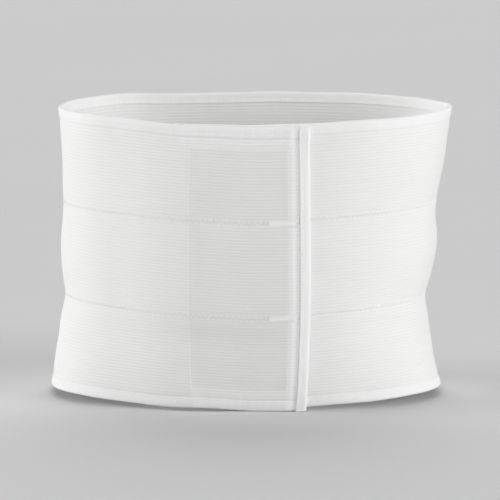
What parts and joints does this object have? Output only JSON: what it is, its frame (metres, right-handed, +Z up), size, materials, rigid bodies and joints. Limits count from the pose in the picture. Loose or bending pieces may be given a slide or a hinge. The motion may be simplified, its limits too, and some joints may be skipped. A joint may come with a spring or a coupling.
{
  "type": "abdominal binder",
  "caption": "Wide elastic belt of horizontal bands sewn edge to edge, bound with tape, wrapped once round the waist and closed in front by a hook patch, in its worn form.",
  "frame": {"origin": "on the axis of the hollow that the waist fills, at half the binder's height", "axes": "+Z up along the body, -Y towards the front, +X towards the left side, as worn"},
  "size_m": [0.3276, 0.2334, 0.2369],
  "materials": {
    "elastic": "matt ribbed elastic",
    "tape": "matt folded tape",
    "hook": "matt hook tape"
  },
  "bodies": {
    "root": {"upper_band": "elastic", "middle_band": "elastic", "lower_band": "elastic", "upper_edge_tape": "tape", "lower_edge_tape": "tape", "inner_end_tape": "tape", "outer_end_tape": "tape", "hook_patch": "hook"}
  },
  "joints": []
}
